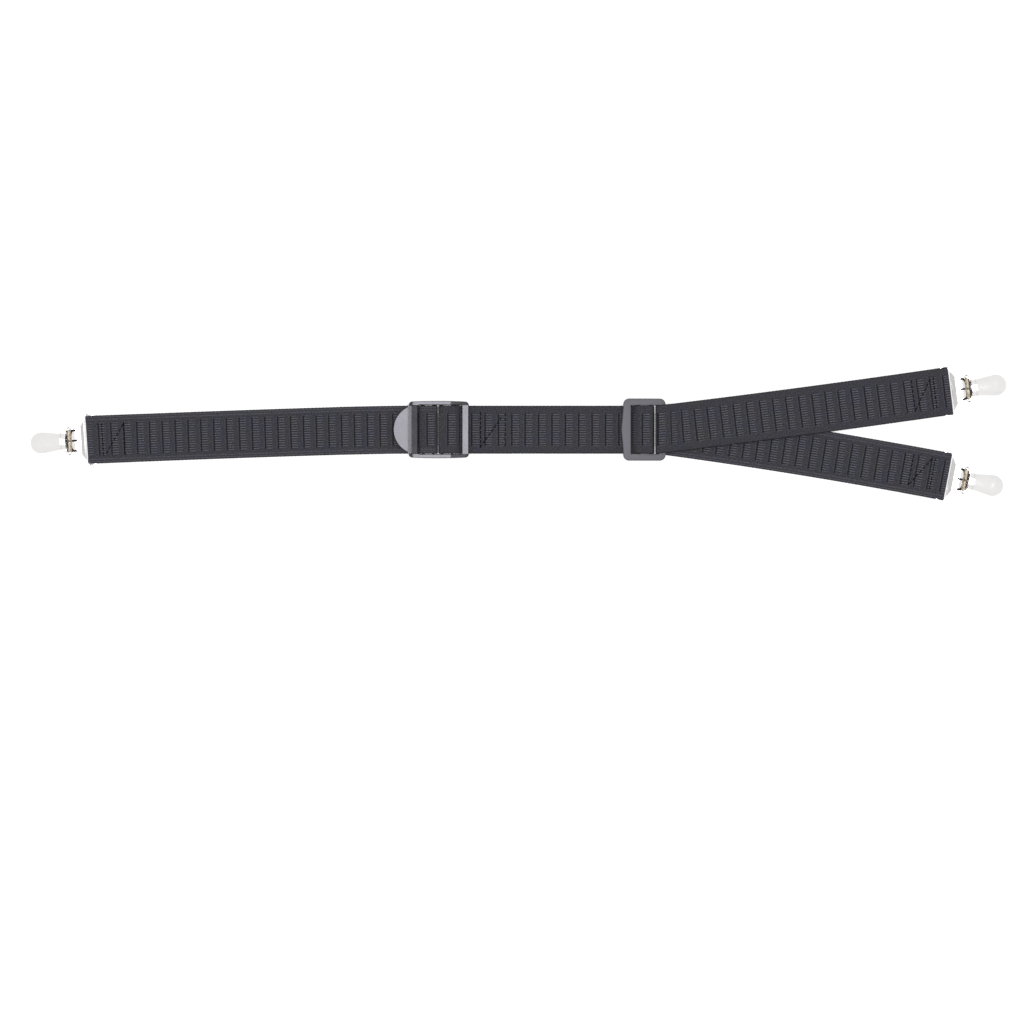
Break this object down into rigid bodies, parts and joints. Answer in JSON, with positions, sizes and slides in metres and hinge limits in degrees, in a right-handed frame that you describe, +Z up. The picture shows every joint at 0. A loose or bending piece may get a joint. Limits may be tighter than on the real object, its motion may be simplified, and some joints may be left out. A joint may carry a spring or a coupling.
{
  "type": "shirt stay",
  "caption": "Elastic webbing shirt stay in a Y, with domed metal clips at its ends, a ladder lock and a three-bar slide.",
  "frame": {"origin": "middle of the bounding box, on the surface that the stay lies on", "axes": "+X from the sock clip to the two shirt clips, +Z up from the surface, the ladder lock's tab side up"},
  "size_m": [0.51, 0.0708, 0.007],
  "materials": {
    "webbing": "black ribbed elastic webbing",
    "buckle_plastic": "satin black moulded plastic",
    "nickel": "bright nickel plate on stamped steel"
  },
  "bodies": {
    "stay": {"sock_strap": "webbing", "middle_strap": "webbing", "shirt_strap": "webbing", "ladder_lock": "buckle_plastic", "slide_buckle": "buckle_plastic", "sock_clip_frame": "nickel", "sock_clip_pin": "nickel", "upper_clip_frame": "nickel", "upper_clip_pin": "nickel", "lower_clip_frame": "nickel", "lower_clip_pin": "nickel"},
    "sock_lever": {"sock_clip_lever": "nickel"},
    "upper_lever": {"upper_clip_lever": "nickel"},
    "lower_lever": {"lower_clip_lever": "nickel"}
  },
  "joints": [
    {"name": "sock_lever_hinge", "type": "hinge", "parent": "stay", "child": "sock_lever", "pos_m": [-0.23394, -0.00389, 0.0027], "axis": [-0.0663, 0.9978, 0], "range_deg": [0, 95]},
    {"name": "upper_lever_hinge", "type": "hinge", "parent": "stay", "child": "upper_lever", "pos_m": [0.23401, 0.02349, 0.0027], "axis": [0.1253, -0.9921, 0], "range_deg": [0, 95]},
    {"name": "lower_lever_hinge", "type": "hinge", "parent": "stay", "child": "lower_lever", "pos_m": [0.23253, -0.02424, 0.0027], "axis": [-0.1874, -0.9823, 0], "range_deg": [0, 95]}
  ]
}
